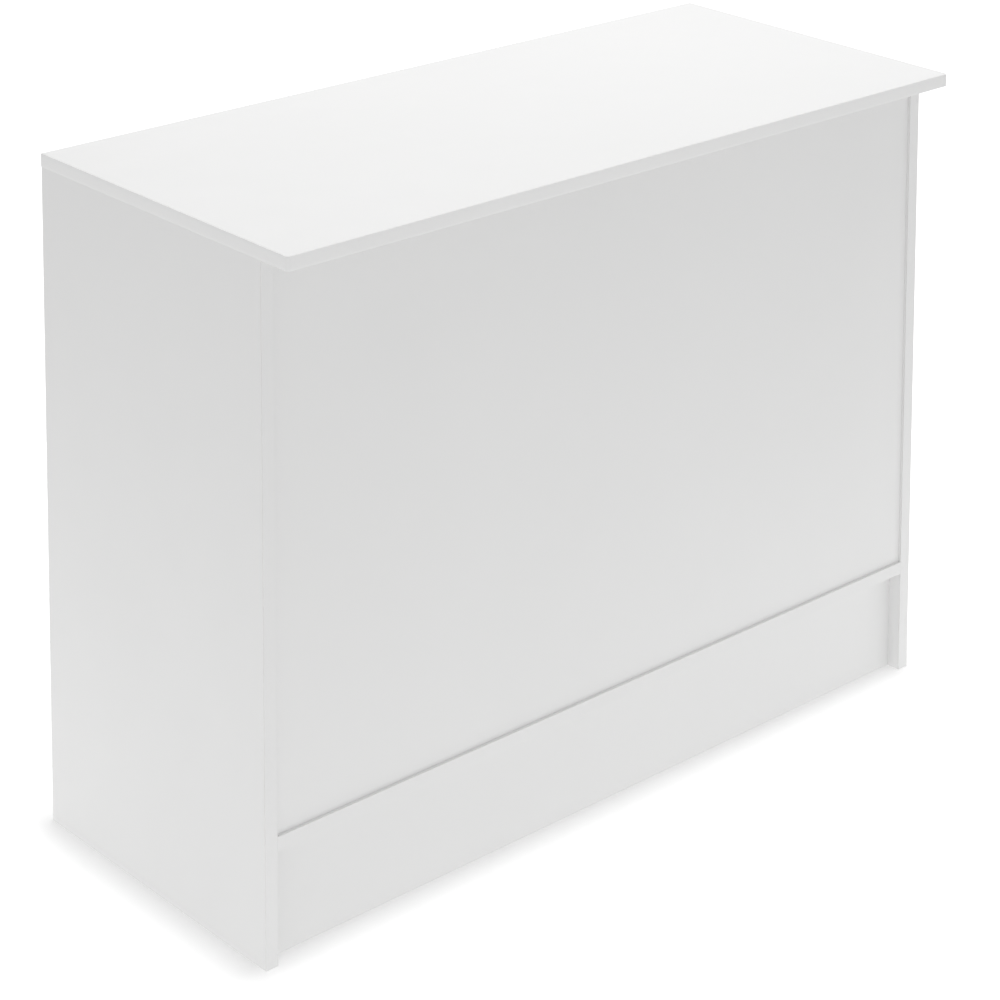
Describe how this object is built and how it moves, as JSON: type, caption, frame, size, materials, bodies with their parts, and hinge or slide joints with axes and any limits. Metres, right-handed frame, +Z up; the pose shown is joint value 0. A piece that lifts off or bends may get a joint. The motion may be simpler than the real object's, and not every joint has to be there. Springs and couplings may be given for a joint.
{
  "type": "checkout counter",
  "caption": "White laminate checkout counter with a closed customer side, end panels to the floor, open shelves and a locking drawer on the clerk's side.",
  "frame": {"origin": "on the floor, under the middle of the counter top", "axes": "+X along the counter, -Y the customer's side, +Y the clerk's side, +Z up"},
  "size_m": [1.2192, 0.5652, 0.9652],
  "materials": {
    "white_melamine": "matt white melamine on particle board",
    "white_hardboard": "white-faced hardboard",
    "white_edge_band": "satin white PVC",
    "zinc_die_cast": "dull zinc die casting",
    "zinc_plated_steel": "bright zinc plating",
    "nickel": "satin nickel",
    "white_plastic": "moulded white plastic",
    "beech_dowel": "raw beech",
    "black_rubber": "moulded black rubber",
    "white_powder_coat": "white powder coat",
    "nylon": "natural nylon"
  },
  "bodies": {
    "root": {"countertop_board": "white_melamine", "countertop_t_moulding": "white_edge_band", "countertop_rear_band": "white_edge_band", "left_end_panel": "white_melamine", "right_end_panel": "white_melamine", "end_panel_bands": "white_edge_band", "front_panel": "white_melamine", "bottom_deck": "white_melamine", "bottom_deck_bands": "white_edge_band", "front_kick_panel": "white_melamine", "rear_kick_panel": "white_melamine", "base_rib": "white_melamine", "center_divider": "white_melamine", "inner_bands": "white_edge_band", "front_top_rail": "white_melamine", "rear_top_rail": "white_melamine", "shelf_pins": "nickel", "cam_locks": "zinc_die_cast", "cam_bolts": "zinc_plated_steel", "cam_cover_caps": "white_plastic", "wood_dowels": "beech_dowel", "top_screws": "zinc_plated_steel", "divider_screws": "zinc_plated_steel", "hardware_screws": "zinc_plated_steel", "leveler_access_caps": "white_plastic", "leveler_brackets": "zinc_plated_steel", "cabinet_runners": "white_powder_coat", "lock_keeper": "zinc_die_cast"},
    "drawer": {"drawer_front": "white_melamine", "drawer_front_bands": "white_edge_band", "drawer_left_side": "white_melamine", "drawer_right_side": "white_melamine", "drawer_back": "white_melamine", "drawer_bottom": "white_hardboard", "drawer_dowels": "beech_dowel", "drawer_screws": "zinc_plated_steel", "drawer_pull": "nickel", "drawer_pull_screws": "zinc_plated_steel", "drawer_runners": "white_powder_coat", "drawer_runner_screws": "zinc_plated_steel", "lock_barrel": "nickel", "lock_nut": "zinc_die_cast"},
    "lock": {"lock_plug": "nickel", "lock_cam": "zinc_die_cast", "lock_cam_screw": "zinc_plated_steel", "lock_key": "nickel"},
    "front_rollers": {"front_rollers": "nylon"},
    "rear_rollers": {"rear_rollers": "nylon"},
    "left_shelf": {"left_shelf": "white_melamine", "left_shelf_bands": "white_edge_band"},
    "right_shelf": {"right_shelf": "white_melamine", "right_shelf_bands": "white_edge_band"},
    "leveler_pad_1": {"leveler_pad_1": "black_rubber"},
    "leveler_stem_1": {"leveler_stem_1": "zinc_plated_steel"},
    "leveler_pad_2": {"leveler_pad_2": "black_rubber"},
    "leveler_stem_2": {"leveler_stem_2": "zinc_plated_steel"},
    "leveler_pad_3": {"leveler_pad_3": "black_rubber"},
    "leveler_stem_3": {"leveler_stem_3": "zinc_plated_steel"},
    "leveler_pad_4": {"leveler_pad_4": "black_rubber"},
    "leveler_stem_4": {"leveler_stem_4": "zinc_plated_steel"}
  },
  "joints": [
    {"name": "drawer_slide", "type": "slide", "parent": "root", "child": "drawer", "axis": [0, 1, 0], "range_m": [0, 0.3]},
    {"name": "front_roller_turn", "type": "hinge", "parent": "root", "child": "front_rollers", "pos_m": [0.34954, 0.21152, 0.81555], "axis": [1, 0, 0], "range_deg": [-2150, 0]},
    {"name": "rear_roller_turn", "type": "hinge", "parent": "drawer", "child": "rear_rollers", "pos_m": [0.34954, -0.16048, 0.81515], "axis": [1, 0, 0], "range_deg": [-2150, 0]},
    {"name": "lock_turn", "type": "hinge", "parent": "drawer", "child": "lock", "pos_m": [0.34954, 0.24457, 0.8941], "axis": [0, 1, 0], "range_deg": [0, 90]},
    {"name": "left_shelf_lift", "type": "slide", "parent": "root", "child": "left_shelf", "axis": [0, 0, 1], "range_m": [0, 0.06]},
    {"name": "right_shelf_lift", "type": "slide", "parent": "root", "child": "right_shelf", "axis": [0, 0, 1], "range_m": [0, 0.06]},
    {"name": "leveler_1_travel", "type": "slide", "parent": "root", "child": "leveler_pad_1", "axis": [0, 0, -1], "range_m": [0, 0.015]},
    {"name": "leveler_1_turn", "type": "hinge", "parent": "leveler_pad_1", "child": "leveler_stem_1", "pos_m": [-0.56655, -0.15138, 0.003], "axis": [0, 0, -1], "range_deg": [0, 4470]},
    {"name": "leveler_2_travel", "type": "slide", "parent": "root", "child": "leveler_pad_2", "axis": [0, 0, -1], "range_m": [0, 0.015]},
    {"name": "leveler_2_turn", "type": "hinge", "parent": "leveler_pad_2", "child": "leveler_stem_2", "pos_m": [-0.56655, 0.18152, 0.003], "axis": [0, 0, -1], "range_deg": [0, 4470]},
    {"name": "leveler_3_travel", "type": "slide", "parent": "root", "child": "leveler_pad_3", "axis": [0, 0, -1], "range_m": [0, 0.015]},
    {"name": "leveler_3_turn", "type": "hinge", "parent": "leveler_pad_3", "child": "leveler_stem_3", "pos_m": [0.56655, -0.15138, 0.003], "axis": [0, 0, -1], "range_deg": [0, 4470]},
    {"name": "leveler_4_travel", "type": "slide", "parent": "root", "child": "leveler_pad_4", "axis": [0, 0, -1], "range_m": [0, 0.015]},
    {"name": "leveler_4_turn", "type": "hinge", "parent": "leveler_pad_4", "child": "leveler_stem_4", "pos_m": [0.56655, 0.18152, 0.003], "axis": [0, 0, -1], "range_deg": [0, 4470]}
  ],
  "couplings": [
    {"joint": "front_roller_turn", "follows": "drawer_slide", "rad_per_m": -125},
    {"joint": "rear_roller_turn", "follows": "drawer_slide", "rad_per_m": -125},
    {"joint": "leveler_1_turn", "follows": "leveler_1_travel", "rad_per_m": 5026.5},
    {"joint": "leveler_2_turn", "follows": "leveler_2_travel", "rad_per_m": 5026.5},
    {"joint": "leveler_3_turn", "follows": "leveler_3_travel", "rad_per_m": 5026.5},
    {"joint": "leveler_4_turn", "follows": "leveler_4_travel", "rad_per_m": 5026.5}
  ]
}
